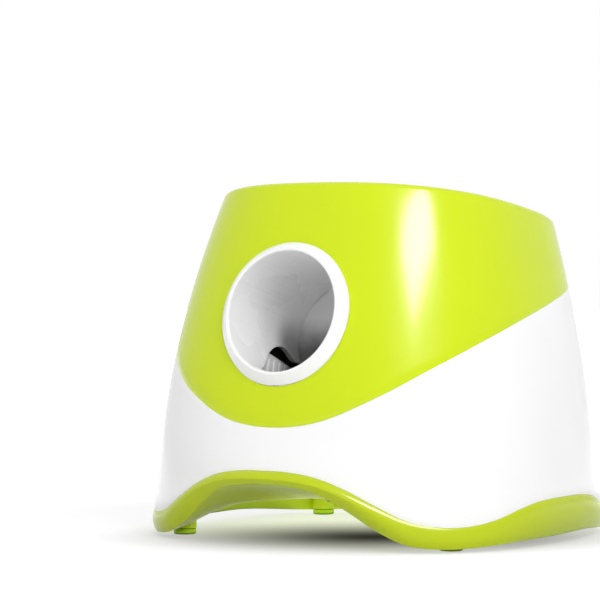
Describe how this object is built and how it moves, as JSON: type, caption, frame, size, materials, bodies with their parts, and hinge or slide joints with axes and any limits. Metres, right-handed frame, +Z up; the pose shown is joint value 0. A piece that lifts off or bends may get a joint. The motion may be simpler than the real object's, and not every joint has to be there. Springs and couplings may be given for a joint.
{
  "type": "automatic dog ball launcher",
  "caption": "Tapered two-tone ball launcher for dogs: top bowl drops balls into a slanted tube, where a sprung carriage wound back by a gear motor throws them from the round muzzle.",
  "frame": {"origin": "centre of the bounding box at floor level, under the feet", "axes": "+Z up, the muzzle faces -Y, +X is the object's left side seen from its front"},
  "size_m": [0.2308, 0.2308, 0.1874],
  "materials": {
    "green_gloss": "glossy moulded lime green",
    "white_gloss": "glossy moulded white",
    "pale_gloss": "glossy moulded pale grey",
    "grey_plastic": "fine matt grey",
    "dark_plastic": "fine matt black",
    "rubber_black": "matt rubber",
    "foot_pad": "soft lime green rubber",
    "gear_acetal": "natural acetal",
    "brass_pinion": "machined",
    "circuit_board": "green solder mask",
    "clear_lens": "clear moulded light pipe",
    "cell_wrap": "shrink wrap",
    "spring_steel": "drawn wire",
    "bright_steel": "zinc plated"
  },
  "bodies": {
    "launcher_body": {"aa_cell_1": "cell_wrap", "aa_cell_2": "cell_wrap", "aa_cell_3": "cell_wrap", "aa_cell_4": "cell_wrap", "aa_cell_5": "cell_wrap", "aa_cell_6": "cell_wrap", "ball_sensor_emitter": "dark_plastic", "ball_sensor_receiver": "dark_plastic", "base_screw_1": "bright_steel", "base_screw_2": "bright_steel", "base_screw_3": "bright_steel", "base_screw_4": "bright_steel", "base_tray": "green_gloss", "battery_box": "dark_plastic", "battery_contacts_left": "bright_steel", "battery_contacts_right": "bright_steel", "button_board": "circuit_board", "buzzer": "dark_plastic", "control_panel": "grey_plastic", "dc_jack": "dark_plastic", "door_hinge_pin": "bright_steel", "drive_motor": "bright_steel", "foot_front_left": "foot_pad", "foot_front_right": "foot_pad", "foot_rear_left": "foot_pad", "foot_rear_right": "foot_pad", "front_bumper": "rubber_black", "gearbox_screw_1": "bright_steel", "gearbox_screw_2": "bright_steel", "gearbox_screw_3": "bright_steel", "gearbox_screw_4": "bright_steel", "hopper_bowl": "white_gloss", "indicator_lenses": "clear_lens", "launch_spring_left": "spring_steel", "launch_spring_right": "spring_steel", "launch_tube": "pale_gloss", "left_gear_plate": "grey_plastic", "limit_switch": "dark_plastic", "lower_shell": "white_gloss", "main_board": "circuit_board", "muzzle_ring": "white_gloss", "reduction_axle": "bright_steel", "right_gear_plate": "grey_plastic", "seam_screw_1": "bright_steel", "seam_screw_2": "bright_steel", "tube_screw_1": "bright_steel", "tube_screw_2": "bright_steel", "tube_screw_3": "bright_steel", "tube_screw_4": "bright_steel", "upper_shell": "green_gloss", "winding_axle": "bright_steel"},
    "launch_carriage": {"launch_carriage": "white_gloss"},
    "winding_gear": {"winding_gear": "gear_acetal"},
    "reduction_gear": {"reduction_gear": "gear_acetal"},
    "motor_pinion": {"motor_pinion": "brass_pinion", "motor_shaft": "bright_steel"},
    "power_button": {"power_button": "grey_plastic"},
    "distance_button": {"distance_button": "grey_plastic"},
    "jack_cover": {"jack_cover": "rubber_black"},
    "battery_door": {"battery_door": "green_gloss"}
  },
  "joints": [
    {"name": "carriage_slide", "type": "slide", "parent": "launcher_body", "child": "launch_carriage", "axis": [0, 0.9715, -0.2368], "range_m": [0, 0.058], "deforming": ["launch_spring_left", "launch_spring_right"]},
    {"name": "winding_turn", "type": "hinge", "parent": "launcher_body", "child": "winding_gear", "pos_m": [0, -0.01577, 0.04457], "axis": [-1, 0, 0], "range_deg": [0, 241.8]},
    {"name": "reduction_turn", "type": "hinge", "parent": "launcher_body", "child": "reduction_gear", "pos_m": [0, -0.03576, 0.04533], "axis": [1, 0, 0], "range_deg": [0, 725.4]},
    {"name": "motor_turn", "type": "hinge", "parent": "launcher_body", "child": "motor_pinion", "pos_m": [0, -0.0565, 0.04678], "axis": [-1, 0, 0], "range_deg": [0, 3046.2]},
    {"name": "power_press", "type": "slide", "parent": "launcher_body", "child": "power_button", "axis": [0, -0.9923, -0.1238], "range_m": [0, 0.0012], "stiffness_N_per_m": 300, "springref_m": -0.0004},
    {"name": "distance_press", "type": "slide", "parent": "launcher_body", "child": "distance_button", "axis": [0, -0.9923, -0.1238], "range_m": [0, 0.0012], "stiffness_N_per_m": 300, "springref_m": -0.0004},
    {"name": "cover_swing", "type": "hinge", "parent": "launcher_body", "child": "jack_cover", "pos_m": [-0.04776, 0.10655, 0.05522], "axis": [0.9579, 0.2868, -0.015], "range_deg": [0, 110]},
    {"name": "door_swing", "type": "hinge", "parent": "launcher_body", "child": "battery_door", "pos_m": [0, 0.0946, 0.0177], "axis": [1, 0, 0], "range_deg": [0, 95]}
  ],
  "couplings": [
    {"joint": "winding_turn", "follows": "carriage_slide", "rad_per_m": 72.727},
    {"joint": "reduction_turn", "follows": "carriage_slide", "rad_per_m": 218.18},
    {"joint": "motor_turn", "follows": "carriage_slide", "rad_per_m": 916.36}
  ]
}
